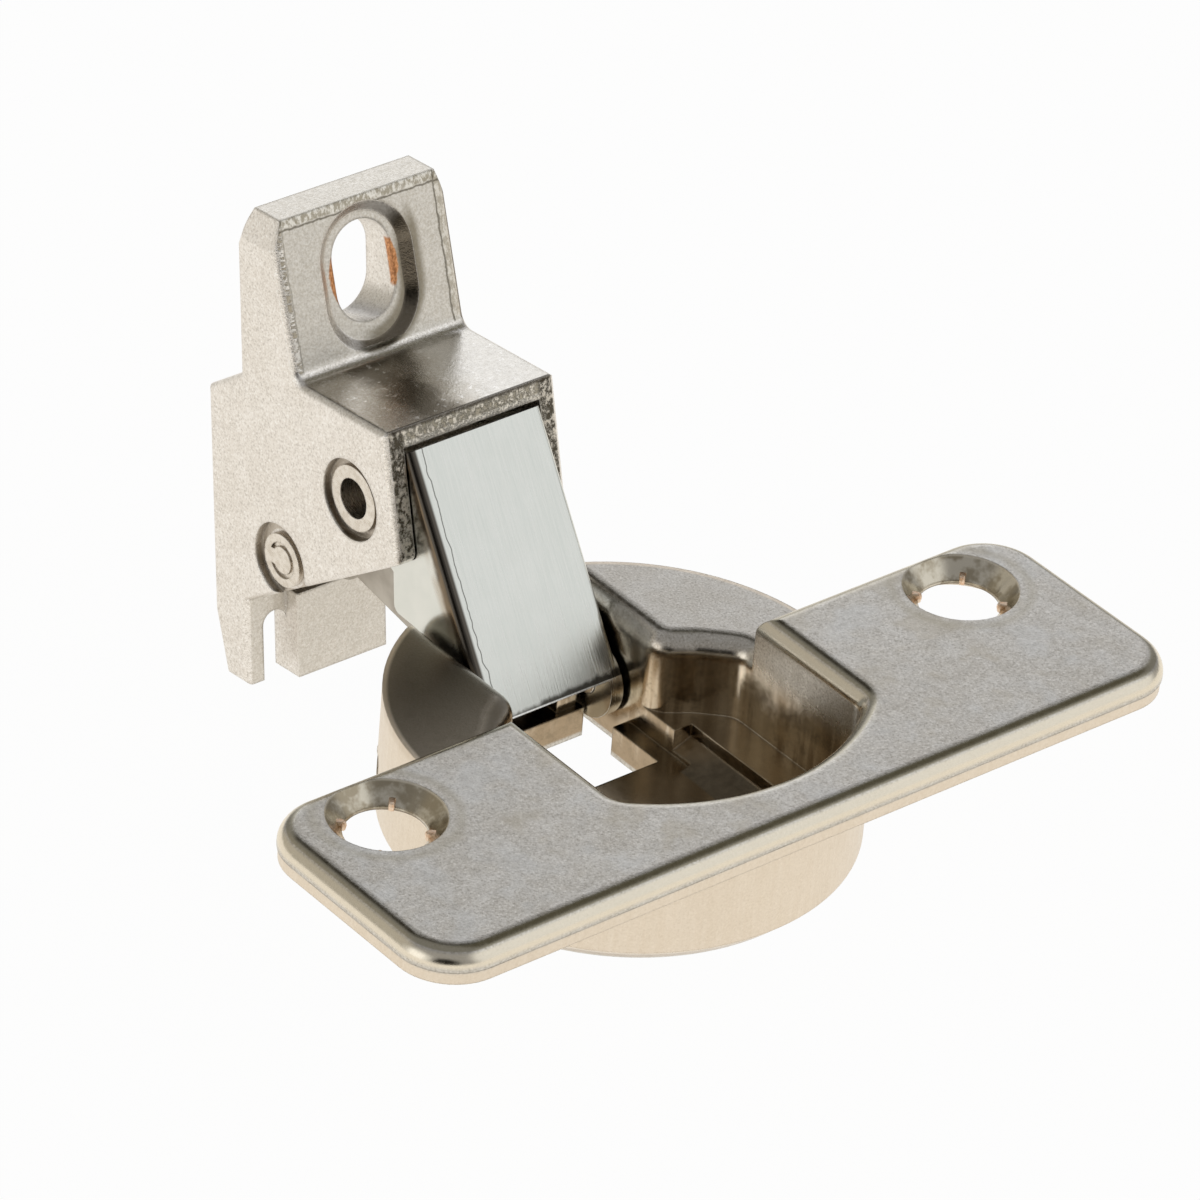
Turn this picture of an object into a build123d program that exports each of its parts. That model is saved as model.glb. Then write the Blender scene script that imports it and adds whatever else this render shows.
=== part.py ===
from build123d import *
from math import atan, cos, degrees, hypot, radians, sin, sqrt, tan
import os

os.makedirs("parts", exist_ok=True)

# Frame: the origin is the centre of the cup, on the face of the door that the
# screw plate lies on. +X runs along the plate, +Y points to the side that the
# arm is on, +Z points away from the door. The hinge is fully open.

# Screw plate
plate_length = 67.6
plate_front_wall = 4.15
plate_back = 0.45
plate_thickness = 2.65
plate_corner = 4.5
plate_parting = 1.0
plate_rim_inset = 0.12
plate_edge_radius = 1.45
screw_spacing = 52.0
screw_offset = 5.5
screw_hole_radius = 3.0
screw_sink_radius = 4.3
screw_sink_angle = 84.0
screw_relief_depth = 0.95

# Cup
cup_radius = 17.5
cup_depth = 11.5
cup_rim_drop = 0.55
cup_floor = 2.45
cup_bottom_chamfer = 1.4
cavity_wall = 1.0
cavity_flank = 6.4
cavity_flank_back = 0.9
cavity_flank_round = 1.7
cavity_front_round = 1.8
shelf_depth = 6.9
trough_half_width = 8.0
trough_back = 2.0
trough_front = 7.7
trough_wall = 1.1
trough_flat = 5.5
channel_play = 0.35
channel_sill = 1.2
mouth_back = 4.6
mouth_round = 2.2
boss_corner_x = 8.9
boss_corner_y = 3.0
boss_corner_round = 1.9
rim_roll = 1.7
window_half_width = 5.0
window_front = 1.9
window_play = 0.3
ear_pocket_play = 0.15
ear_pocket_gap = 0.4

# Pivots of the cup
outer_pivot_inset = 7.0
outer_pivot_z = -6.75
inner_pivot_dy = 2.1
inner_pivot_dz = 1.2
cup_pin_radius = 1.1
cup_pin_grip = 6.8
running_gap = 0.06
lug_play = 0.55
lug_thickness = 1.8
lug_radius = 2.1
lug_base = 3.6

# Outer link, folded from sheet
link_side_play = 0.1
link_sheet = 1.1
link_bend = 0.55
link_angle = 33.2
link_reach = 17.73
link_upper_depth = 6.5
link_lower_depth = 3.0
link_top = 2.45
link_bottom = 0.35
link_upper_ear = 3.05
link_waist = 6.35
link_waist_drop = 5.95
link_nose = 7.75
link_nose_drop = 8.75
link_nose_round = 0.7
link_throat = 5.1
link_throat_drop = 10.6

# Inner link
inner_link_play = 0.3
inner_link_lower_eye = 2.2
inner_link_upper_eye = 3.1
inner_link_waist = 3.2
open_pivot_gap = 0.8

# Arm bracket, measured from the upper pivot: back is away from the links,
# up is along the tab
arm_angle = 6.75
arm_half_width = 7.75
arm_wall = 1.6
arm_web = 1.5
arm_web_top = 6.88
arm_front = 4.2
arm_front_low = 5.6
arm_front_drop = 3.1
arm_front_round = 1.0
arm_edge_round = 0.6
arm_back = 17.15
arm_ramp_top = 5.0
arm_ramp_drop = 2.45
tab_back = 13.1
tab_foot = 6.16
tab_slope = 12.6
tab_height = 18.6
tab_bevel_depth = 1.35
tab_bevel_drop = 3.0
tab_shoulder = 0.8
tab_shoulder_drop = 2.4
tab_foot_fillet = 1.1
leg_front = 13.2
leg_crotch = 13.8
leg_bottom = 20.95
leg_back_foot = 15.85
leg_chamfer_drop = 15.9
tongue_half_width = 4.05
tongue_front = 11.7
tongue_back = 14.65
tongue_bottom = 20.8
cross_wall_front = 12.8
prong_root = 15.4
lower_pivot_back = 8.75
lower_pivot_drop = 8.6

# Slot of the tab
slot_rise = 12.6
slot_width = 5.3
slot_length = 7.6
slot_above_recess = 0.4
slot_recess_width = 8.3
slot_recess_length = 11.3
slot_recess_depth = 0.65
slot_recess_inset = 0.85
slot_relief_depth = 1.7

# Arm rivet and arm pin
rivet_radius = 2.1
rivet_bore = 1.55
rivet_flange = 2.55
rivet_flange_thickness = 0.4
rivet_dish = 3.15
arm_dish_depth = 0.7
pin_shank = 1.25
pin_head = 2.1
pin_head_thickness = 0.5
pin_dish = 3.0
pin_groove_radius = 1.25
pin_groove_width = 0.35
pin_groove_depth = 0.2


def leaning(angle, y, z):
    """Plane with its x axis pointing back and its y axis up, leaning back by angle."""
    back = (0, cos(radians(angle)), -sin(radians(angle)))
    return Plane(origin=(0, y, z), x_dir=back, z_dir=(1, 0, 0))


def facing(angle, point):
    """Plane with its x axis along the plate, facing the front and up by angle."""
    return Plane(origin=point, x_dir=(1, 0, 0), z_dir=(0, -cos(radians(angle)), sin(radians(angle))))


def across(plane, x):
    """The same plane moved to x along its normal."""
    return plane.offset(x)


plate_front = cup_radius + plate_front_wall
outer_pivot_y = cup_radius - outer_pivot_inset
link_half_width = arm_half_width - arm_wall - link_side_play
link_inner = link_half_width - link_sheet
lug_inner = link_inner - lug_play - lug_thickness
inner_link_half_width = lug_inner - inner_link_play
channel_half_width = link_half_width + channel_play
cup_pin_end = channel_half_width + cup_pin_grip
ear_pocket_inner = link_inner - ear_pocket_play
window_back = outer_pivot_y - window_play
cavity_half_width = cup_radius - cavity_flank

link_plane_low = leaning(link_angle, outer_pivot_y, outer_pivot_z)
upper_pivot = link_plane_low.from_local_coords(
    (link_upper_depth - link_lower_depth, link_reach, 0)
)
link_plane = leaning(link_angle, upper_pivot.Y, upper_pivot.Z)
arm_plane = leaning(arm_angle, upper_pivot.Y, upper_pivot.Z)
lower_pivot = arm_plane.from_local_coords((lower_pivot_back, -lower_pivot_drop, 0))
inner_pivot_y = outer_pivot_y + inner_pivot_dy
inner_pivot_z = outer_pivot_z + inner_pivot_dz

plate_width = plate_front - plate_back
plate_middle = -(plate_front + plate_back) / 2
floor_level = -cup_depth + cup_floor
cavity_radius = cup_radius - cavity_wall
front_keep = plate_front + cup_radius
pick_tolerance = 0.01

with BuildPart() as cup_plate:
    with BuildSketch(Plane.XY.offset(-cup_depth)):
        Circle(cup_radius)
    extrude(amount=cup_depth - cup_rim_drop)
    chamfer(cup_plate.edges().group_by(Axis.Z)[0], cup_bottom_chamfer)
    with BuildSketch(Plane.XY.offset(-cup_rim_drop)):
        Circle(cup_radius)
        with Locations((0, -plate_back - front_keep / 2)):
            Rectangle(2 * front_keep, front_keep, mode=Mode.INTERSECT)
    extrude(amount=cup_rim_drop + plate_parting)
    with BuildSketch(Plane.XY):
        with Locations((0, plate_middle)):
            RectangleRounded(
                plate_length - 2 * plate_rim_inset,
                plate_width - 2 * plate_rim_inset,
                plate_corner - plate_rim_inset,
            )
    extrude(amount=plate_parting)
    with BuildSketch(Plane.XY.offset(plate_parting)):
        with Locations((0, plate_middle)):
            RectangleRounded(plate_length, plate_width, plate_corner)
    extrude(amount=plate_thickness - plate_parting)

    # cavity over the shelves: straight flanks, a round front, and at the back
    # the mouth between the two bosses and the channel that leads out of it
    right_side = [
        (cavity_half_width, -2 * cup_radius),
        (cavity_half_width, cavity_flank_back),
        (boss_corner_x, boss_corner_y),
        (channel_half_width, mouth_back),
        (channel_half_width, 2 * cup_radius),
    ]
    left_side = [(-x, y) for x, y in reversed(right_side)]
    front_corner_y = -sqrt(cavity_radius**2 - cavity_half_width**2)
    with BuildSketch(Plane.XY.offset(-shelf_depth)) as cavity:
        with BuildLine():
            Polyline(*right_side, *left_side, close=True)
        make_face()
        Circle(cavity_radius, mode=Mode.INTERSECT)
        for side in (-1, 1):
            for x, y, radius in (
                (cavity_half_width, front_corner_y, cavity_front_round),
                (cavity_half_width, cavity_flank_back, cavity_flank_round),
                (boss_corner_x, boss_corner_y, boss_corner_round),
                (channel_half_width, mouth_back, mouth_round),
            ):
                fillet(cavity.vertices().sort_by_distance((side * x, y))[:1], radius)
        with Locations((0, cup_radius)):
            Rectangle(2 * channel_half_width, cup_radius)
    extrude(amount=shelf_depth + plate_thickness, mode=Mode.SUBTRACT)
    rolled = cup_plate.edges().filter_by(lambda edge: abs((edge @ 0.5).Z + cup_rim_drop) < pick_tolerance)
    rolled = rolled.filter_by(lambda edge: (edge @ 0.5).Y > boss_corner_y)
    rolled = rolled.filter_by(lambda edge: hypot((edge @ 0.5).X, (edge @ 0.5).Y) < cavity_radius)
    fillet(rolled, rim_roll)
    fillet(cup_plate.edges().group_by(Axis.Z)[-1], plate_edge_radius)
    # trough for the links, with sloping sides
    trough_level = -shelf_depth - trough_wall
    channel_height = -shelf_depth - floor_level
    with BuildSketch(Plane.XZ.offset(-trough_back)):
        with BuildLine():
            Polyline(
                (-trough_flat, floor_level),
                (trough_flat, floor_level),
                (trough_half_width, trough_level),
                (trough_half_width, -shelf_depth),
                (-trough_half_width, -shelf_depth),
                (-trough_half_width, trough_level),
                close=True,
            )
        make_face()
    extrude(amount=trough_back + trough_front, mode=Mode.SUBTRACT)
    with BuildSketch(Plane.XY.offset(floor_level)):
        with Locations((0, (cup_radius - channel_sill) / 2)):
            Rectangle(2 * channel_half_width, cup_radius - channel_sill)
    extrude(amount=channel_height, mode=Mode.SUBTRACT)
    # channel through the back of the rim, over its sill
    with BuildSketch(Plane.XY.offset(floor_level + channel_sill)):
        with Locations((0, cup_radius)):
            Rectangle(2 * channel_half_width, cup_radius)
    extrude(amount=channel_height - channel_sill, mode=Mode.SUBTRACT)
    # window in the floor
    with BuildSketch(Plane.XY.offset(-cup_depth)):
        with Locations((0, (window_front + window_back) / 2)):
            Rectangle(2 * window_half_width, window_back - window_front)
        # pockets for the ears of the outer link
        with Locations((0, outer_pivot_y)):
            Rectangle(2 * channel_half_width, 2 * (link_lower_depth + ear_pocket_gap))
            Rectangle(2 * ear_pocket_inner, 2 * (cup_radius - window_back), mode=Mode.SUBTRACT)
        with Locations((0, (window_front + window_back) / 2)):
            Rectangle(2 * window_half_width, window_back - window_front)
    extrude(amount=cup_floor, mode=Mode.SUBTRACT)

    # lugs of the inner pivot
    for side in (-1, 1):
        with BuildSketch(Plane.YZ.offset(side * lug_inner)):
            with Locations((inner_pivot_y, inner_pivot_z)):
                Circle(lug_radius)
            with Locations((inner_pivot_y, floor_level)):
                Rectangle(lug_base, cup_floor)
            make_hull()
        extrude(amount=side * lug_thickness)
    with BuildSketch(Plane.YZ):
        with Locations((inner_pivot_y, inner_pivot_z)):
            Circle(cup_pin_radius)
    extrude(amount=lug_inner + lug_thickness, both=True, mode=Mode.SUBTRACT)
    for side in (-1, 1):
        with BuildSketch(Plane.YZ.offset(side * channel_half_width)):
            with Locations((outer_pivot_y, outer_pivot_z)):
                Circle(cup_pin_radius)
        extrude(amount=side * cup_radius, mode=Mode.SUBTRACT)

    with Locations(Plane.XY.offset(plate_thickness)):
        with Locations((-screw_spacing / 2, -screw_offset), (screw_spacing / 2, -screw_offset)):
            CounterSinkHole(screw_hole_radius, screw_sink_radius, counter_sink_angle=screw_sink_angle)
    # the plate is thinner below the screw holes
    with BuildSketch(Plane.XY):
        with Locations((-screw_spacing / 2, -screw_offset), (screw_spacing / 2, -screw_offset)):
            Circle(screw_sink_radius)
    extrude(amount=screw_relief_depth, mode=Mode.SUBTRACT)
cup_plate.part.label = "cup_plate"
export_step(cup_plate.part, "parts/cup_plate.step")

with BuildPart() as cup_outer_pins:
    pin_start = link_half_width - link_sheet - 2 * running_gap
    for side in (-1, 1):
        with BuildSketch(Plane.YZ.offset(side * pin_start)):
            with Locations((outer_pivot_y, outer_pivot_z)):
                Circle(cup_pin_radius)
        extrude(amount=side * (cup_pin_end - pin_start))
cup_outer_pins.part.label = "cup_outer_pins"
export_step(cup_outer_pins.part, "parts/cup_outer_pins.step")

with BuildPart() as cup_inner_pin:
    with BuildSketch(Plane.YZ):
        with Locations((inner_pivot_y, inner_pivot_z)):
            Circle(cup_pin_radius)
    extrude(amount=lug_inner + lug_thickness, both=True)
cup_inner_pin.part.label = "cup_inner_pin"
export_step(cup_inner_pin.part, "parts/cup_inner_pin.step")

with BuildPart() as outer_link:
    face_x = -link_upper_depth
    lower_x = face_x + link_lower_depth
    foot_y = -link_reach - link_bottom
    nose = (face_x + link_nose, -link_nose_drop)
    throat = (face_x + link_throat, -link_throat_drop)
    with BuildSketch(across(link_plane, -link_half_width)) as flange:
        with BuildLine():
            Polyline(
                (face_x, link_top),
                (0, link_top),
                (link_upper_ear, 0),
                (face_x + link_waist, -link_waist_drop),
                nose,
                throat,
                (lower_x + link_lower_depth, -link_reach),
                (lower_x, foot_y),
                (face_x, foot_y),
                close=True,
            )
        make_face()
        fillet(flange.vertices().sort_by_distance(nose)[:1], link_nose_round)
        fillet(flange.vertices().sort_by_distance(throat)[:1], link_nose_round)
    extrude(amount=2 * link_half_width)
    face_middle = link_plane.from_local_coords((face_x, (link_top + foot_y) / 2, 0))
    front = outer_link.faces().sort_by_distance(face_middle)[0]
    fillet(front.edges().filter_by(Axis.X, reverse=True), link_bend)
    # the inside of the channel, open at the back
    with BuildSketch(across(link_plane, link_sheet - link_half_width)):
        with Locations((face_x + link_sheet + link_reach, -link_reach / 2)):
            Rectangle(2 * link_reach, 2 * link_reach)
    extrude(amount=2 * (link_half_width - link_sheet), mode=Mode.SUBTRACT)
    # an ear round each pivot
    for side in (-1, 1):
        with BuildSketch(across(link_plane, side * (link_half_width - link_sheet))):
            Circle(link_upper_ear)
            with Locations((lower_x, -link_reach)):
                Circle(link_lower_depth)
        extrude(amount=side * link_sheet)
    with BuildSketch(across(link_plane, -link_half_width)):
        Circle(rivet_radius + running_gap)
        with Locations((lower_x, -link_reach)):
            Circle(cup_pin_radius + running_gap)
    extrude(amount=2 * link_half_width, mode=Mode.SUBTRACT)
outer_link.part.label = "outer_link"
export_step(outer_link.part, "parts/outer_link.step")

with BuildPart() as inner_link:
    link_start = across(arm_plane, -inner_link_half_width)
    inner_pivot_local = arm_plane.to_local_coords(Vector(0, inner_pivot_y, inner_pivot_z))
    lower_pivot_local = (lower_pivot_back, -lower_pivot_drop)
    with BuildSketch(link_start):
        with Locations((inner_pivot_local.X, inner_pivot_local.Y)):
            Circle(inner_link_lower_eye)
        with Locations(lower_pivot_local):
            Circle(inner_link_waist / 2)
        make_hull()
        with Locations(lower_pivot_local):
            Circle(inner_link_upper_eye)
            Circle(pin_shank + open_pivot_gap, mode=Mode.SUBTRACT)
        with Locations((inner_pivot_local.X, inner_pivot_local.Y)):
            Circle(cup_pin_radius + running_gap, mode=Mode.SUBTRACT)
    extrude(amount=2 * inner_link_half_width)
inner_link.part.label = "inner_link"
export_step(inner_link.part, "parts/inner_link.step")

tab_front_top = tab_foot + (tab_height - arm_web_top) * tan(radians(tab_slope))
with BuildPart() as arm_bracket:
    with BuildSketch(across(arm_plane, -arm_half_width)):
        with BuildLine():
            Polyline(
                (-arm_front, arm_web_top),
                (-arm_front_low, -arm_front_drop),
                (leg_front, -leg_crotch),
                (leg_front, -leg_bottom),
                (leg_back_foot, -leg_bottom),
                (arm_back, -leg_chamfer_drop),
                (arm_back, arm_ramp_top - arm_ramp_drop),
                (tab_back, arm_ramp_top),
                (tab_back, tab_height - tab_bevel_drop),
                (tab_back - tab_bevel_depth, tab_height),
                (tab_front_top, tab_height),
                (tab_foot, arm_web_top),
                close=True,
            )
        make_face()
    extrude(amount=2 * arm_half_width)
    low_corner = arm_plane.from_local_coords((-arm_front_low, -arm_front_drop, 0))
    cross_edges = arm_bracket.edges().filter_by(Axis.X)
    fillet(cross_edges.sort_by_distance(low_corner)[:1], arm_front_round)
    foot_corner = arm_plane.from_local_coords((tab_foot, arm_web_top, 0))
    cross_edges = arm_bracket.edges().filter_by(Axis.X)
    fillet(cross_edges.sort_by_distance(foot_corner)[:1], tab_foot_fillet)
    side_faces = arm_bracket.faces().filter_by(Axis.X)
    fillet(side_faces.edges(), arm_edge_round)
    # shoulders of the tab
    arm_facing = facing(arm_angle, upper_pivot)
    for side_sign in (-1, 1):
        with BuildSketch(arm_facing):
            with BuildLine():
                Polyline(
                    (side_sign * (arm_half_width - tab_shoulder), tab_height),
                    (side_sign * arm_half_width, tab_height),
                    (side_sign * arm_half_width, tab_height - tab_shoulder_drop),
                    close=True,
                )
            make_face()
        extrude(amount=-arm_back, mode=Mode.SUBTRACT)
    # room for the links, open at the front and below
    room_half = arm_half_width - arm_wall
    room_top = arm_web_top - arm_web
    room_bottom = leg_bottom + arm_wall
    room_front = arm_front_low + arm_wall
    with BuildSketch(across(arm_plane, -room_half)):
        with Locations(((cross_wall_front - room_front) / 2, (room_top - room_bottom) / 2)):
            Rectangle(cross_wall_front + room_front, room_top + room_bottom)
    extrude(amount=2 * room_half, mode=Mode.SUBTRACT)
    # recess behind the cross wall, under the ramp
    recess_top = arm_ramp_top - arm_ramp_drop - arm_web
    with BuildSketch(across(arm_plane, -room_half)):
        with Locations((tongue_back + arm_back / 2, (recess_top - room_bottom) / 2)):
            Rectangle(arm_back, recess_top + room_bottom)
    extrude(amount=2 * room_half, mode=Mode.SUBTRACT)
    # the cross wall ends in a round slot each side of the tongue
    slot_round = (room_half - tongue_half_width) / 2
    with BuildSketch(arm_facing):
        with Locations((0, -prong_root - slot_round - room_bottom / 2)):
            Rectangle(2 * room_half, room_bottom)
        for side_sign in (-1, 1):
            with Locations((side_sign * (room_half - slot_round), -prong_root - slot_round)):
                Circle(slot_round)
    extrude(amount=-arm_back, mode=Mode.SUBTRACT)
    # the right side plate ends at the same height
    with BuildSketch(across(arm_plane, room_half)):
        with Locations((arm_back / 2 + leg_front / 2, -prong_root - room_bottom / 2)):
            Rectangle(2 * arm_back, room_bottom)
    extrude(amount=2 * arm_wall, mode=Mode.SUBTRACT)
    # tongue
    with BuildSketch(across(arm_plane, -tongue_half_width)):
        with Locations(((tongue_front + tongue_back) / 2, -(tongue_bottom + prong_root - arm_wall) / 2)):
            Rectangle(tongue_back - tongue_front, tongue_bottom - prong_root + arm_wall)
    extrude(amount=2 * tongue_half_width)
    # pivot holes and their dishes
    with BuildSketch(arm_plane):
        Circle(rivet_radius)
        with Locations((lower_pivot_back, -lower_pivot_drop)):
            Circle(pin_shank)
    extrude(amount=2 * arm_half_width, both=True, mode=Mode.SUBTRACT)
    for side_sign in (-1, 1):
        with BuildSketch(across(arm_plane, side_sign * (arm_half_width - arm_dish_depth))):
            Circle(rivet_dish)
            with Locations((lower_pivot_back, -lower_pivot_drop)):
                Circle(pin_dish)
        extrude(amount=side_sign * arm_dish_depth, mode=Mode.SUBTRACT)
    # slot of the tab, with a dished recess in front and a relief behind
    tab_face = facing(arm_angle + tab_slope, foot_corner)
    recess_up = (slot_rise - arm_web_top) / cos(radians(tab_slope))
    slot_up = recess_up + slot_above_recess
    with BuildSketch(tab_face):
        with Locations((0, slot_up)):
            SlotOverall(slot_length, slot_width, rotation=90)
    extrude(amount=-2 * tab_back, mode=Mode.SUBTRACT)
    with BuildSketch(tab_face):
        with Locations((0, recess_up)):
            SlotOverall(slot_recess_length, slot_recess_width, rotation=90)
    recess_taper = degrees(atan(slot_recess_inset / slot_recess_depth))
    extrude(amount=-slot_recess_depth, taper=recess_taper, mode=Mode.SUBTRACT)
    slot_back = tab_foot + slot_up * sin(radians(tab_slope))
    slot_height = arm_web_top + slot_up * cos(radians(tab_slope))
    relief_rise = slot_height - (tab_back - slot_back) * tan(radians(tab_slope))
    relief_length = slot_length + slot_recess_width - slot_width
    with BuildSketch(facing(arm_angle, arm_plane.from_local_coords((tab_back, 0, 0)))):
        with Locations((0, relief_rise)):
            SlotOverall(relief_length, slot_recess_width, rotation=90)
    extrude(amount=slot_relief_depth, mode=Mode.SUBTRACT)
arm_bracket.part.label = "arm_bracket"
export_step(arm_bracket.part, "parts/arm_bracket.step")

with BuildPart() as arm_rivet:
    dish_floor = arm_half_width - arm_dish_depth
    with BuildSketch(across(arm_plane, -dish_floor)):
        Circle(rivet_radius)
    extrude(amount=2 * dish_floor)
    for side_sign in (-1, 1):
        with BuildSketch(across(arm_plane, side_sign * dish_floor)):
            Circle(rivet_flange)
        extrude(amount=side_sign * rivet_flange_thickness)
    with BuildSketch(arm_plane):
        Circle(rivet_bore)
    extrude(amount=arm_half_width, both=True, mode=Mode.SUBTRACT)
arm_rivet.part.label = "arm_rivet"
export_step(arm_rivet.part, "parts/arm_rivet.step")

with BuildPart() as arm_pin:
    with BuildSketch(across(arm_plane, -dish_floor)):
        with Locations((lower_pivot_back, -lower_pivot_drop)):
            Circle(pin_shank)
    extrude(amount=2 * dish_floor)
    for side_sign in (-1, 1):
        with BuildSketch(across(arm_plane, side_sign * dish_floor)):
            with Locations((lower_pivot_back, -lower_pivot_drop)):
                Circle(pin_head)
        extrude(amount=side_sign * pin_head_thickness)
    # C-shaped groove in the peened end
    with BuildSketch(across(arm_plane, -dish_floor - pin_head_thickness)):
        with Locations((lower_pivot_back, -lower_pivot_drop)):
            Circle(pin_groove_radius + pin_groove_width / 2)
            Circle(pin_groove_radius - pin_groove_width / 2, mode=Mode.SUBTRACT)
            with Locations((pin_groove_radius, 0)):
                Rectangle(pin_groove_radius, pin_groove_radius, mode=Mode.SUBTRACT)
    extrude(amount=pin_groove_depth, mode=Mode.SUBTRACT)
arm_pin.part.label = "arm_pin"
export_step(arm_pin.part, "parts/arm_pin.step")
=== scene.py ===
import math

import bmesh
import bpy
from mathutils import Matrix, Vector


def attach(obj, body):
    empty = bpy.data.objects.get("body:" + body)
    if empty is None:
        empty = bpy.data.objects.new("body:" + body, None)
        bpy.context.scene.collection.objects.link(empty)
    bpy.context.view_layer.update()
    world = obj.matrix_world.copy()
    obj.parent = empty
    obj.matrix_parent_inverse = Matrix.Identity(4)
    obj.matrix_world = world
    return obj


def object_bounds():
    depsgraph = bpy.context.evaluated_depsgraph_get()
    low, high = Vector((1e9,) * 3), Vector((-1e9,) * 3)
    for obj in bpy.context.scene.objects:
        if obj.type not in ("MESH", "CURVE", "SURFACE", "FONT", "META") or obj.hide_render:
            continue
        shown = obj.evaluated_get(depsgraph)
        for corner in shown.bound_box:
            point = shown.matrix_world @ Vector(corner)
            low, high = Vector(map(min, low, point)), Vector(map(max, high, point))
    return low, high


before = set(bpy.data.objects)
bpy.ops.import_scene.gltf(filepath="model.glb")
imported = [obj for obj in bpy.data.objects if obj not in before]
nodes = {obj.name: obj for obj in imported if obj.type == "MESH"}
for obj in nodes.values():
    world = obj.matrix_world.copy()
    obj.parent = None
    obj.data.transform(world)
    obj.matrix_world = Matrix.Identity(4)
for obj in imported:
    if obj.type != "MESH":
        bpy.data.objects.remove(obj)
cad_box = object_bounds()
MM = 0.001


def tilted(angle):
    """Directions up along, and back from, a face that leans back by an angle in degrees."""
    lean = math.radians(angle)
    return (0.0, math.sin(lean), math.cos(lean)), (0.0, math.cos(lean), -math.sin(lean))


def opposite(direction):
    return tuple(-value for value in direction)


ACROSS, ALONG, UP = (1, 0, 0), (0, 1, 0), (0, 0, 1)

# Sizes and places of the solids that the materials follow, in millimetres and degrees
PLATE_TOP = 2.65
PARTING = 1.0
SCREW_X = 26.0
SCREW_Y = -5.5
SINK_EDGE = 4.75
CUP_RADIUS = 17.5
CUP_DEPTH = 11.5
ARM_HALF_WIDTH = 7.75
ARM_INNER = 6.15
ARM_WEB_TOP = 6.88
ARM_FRONT = 4.2
ARM_LEAN = 6.75
TAB_SLOPE = 12.6
TAB_HEIGHT = 18.6
LINK_LEAN = 33.2
LINK_REACH = 17.73
LINK_BOTTOM = 0.35
PIVOT = (0.0, 23.137, 6.170)
LOW_PIVOT = (0.0, 30.815, -3.398)
SLOT = (0.0, 32.137, 18.186)
WEB_UP, WEB_BACK = tilted(ARM_LEAN)
TAB_UP, TAB_BACK = tilted(ARM_LEAN + TAB_SLOPE)
LINK_UP, LINK_BACK = tilted(LINK_LEAN)

# Darkest painted shade, in hollows, folds and along turned edges
DARKEST_SHADE = (0.045, 0.032, 0.020)


class Nodes:
    """A node tree, with short calls that return output sockets."""

    def __init__(self, tree):
        self.tree = tree
        self.tree.nodes.clear()

    def node(self, kind, **settings):
        made = self.tree.nodes.new(kind)
        for name, value in settings.items():
            setattr(made, name, value)
        return made

    def put(self, socket, value):
        if isinstance(value, bpy.types.NodeSocket):
            self.tree.links.new(value, socket)
        else:
            socket.default_value = value

    def tint(self, socket, value):
        """Puts a colour, from a socket or as red, green and blue, into a colour socket."""
        self.put(socket, value if isinstance(value, bpy.types.NodeSocket) else (*value, 1.0))

    def math(self, operation, a, b=0.0):
        made = self.node("ShaderNodeMath", operation=operation)
        self.put(made.inputs[0], a)
        self.put(made.inputs[1], b)
        return made.outputs[0]

    def plus(self, a, b):
        return self.math("ADD", a, b)

    def minus(self, a, b):
        return self.math("SUBTRACT", a, b)

    def times(self, *parts):
        """Product, which for masks is 1 where all of them are 1."""
        result = parts[0]
        for part in parts[1:]:
            result = self.math("MULTIPLY", result, part)
        return result

    def most(self, *parts):
        """Greatest of the parts."""
        result = parts[0]
        for part in parts[1:]:
            result = self.math("MAXIMUM", result, part)
        return result

    def away(self, a, b):
        """Distance from the origin of two coordinates."""
        return self.math("SQRT", self.plus(self.math("POWER", a, 2.0), self.math("POWER", b, 2.0)))

    def dot(self, vector, direction):
        made = self.node("ShaderNodeVectorMath", operation="DOT_PRODUCT")
        self.put(made.inputs[0], vector)
        self.put(made.inputs[1], direction)
        return made.outputs["Value"]

    def ramp(self, value, low, high, to_low=0.0, to_high=1.0):
        made = self.node("ShaderNodeMapRange", clamp=True, interpolation_type="SMOOTHSTEP")
        self.put(made.inputs["Value"], value)
        made.inputs["From Min"].default_value = low
        made.inputs["From Max"].default_value = high
        made.inputs["To Min"].default_value = to_low
        made.inputs["To Max"].default_value = to_high
        return made.outputs["Result"]

    def band(self, value, low, high, soft):
        """1 where value lies between low and high, fading over soft."""
        rise = self.ramp(value, low - soft, low + soft)
        fall = self.ramp(value, high - soft, high + soft, 1.0, 0.0)
        return self.times(rise, fall)

    def mix(self, factor, a, b):
        made = self.node("ShaderNodeMix", data_type="RGBA")
        self.put(made.inputs["Factor"], factor)
        self.tint(made.inputs["A"], a)
        self.tint(made.inputs["B"], b)
        return made.outputs["Result"]

    def light(self, kind, colour, strength=1.0):
        made = self.node(kind)
        self.tint(made.inputs["Color"], colour)
        made.inputs["Strength"].default_value = strength
        return made.outputs[0]

    def either(self, factor, first, second):
        """The first shader where factor is 0, the second where it is 1."""
        made = self.node("ShaderNodeMixShader")
        for socket, value in zip(made.inputs, (factor, first, second)):
            self.put(socket, value)
        return made.outputs[0]


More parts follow.
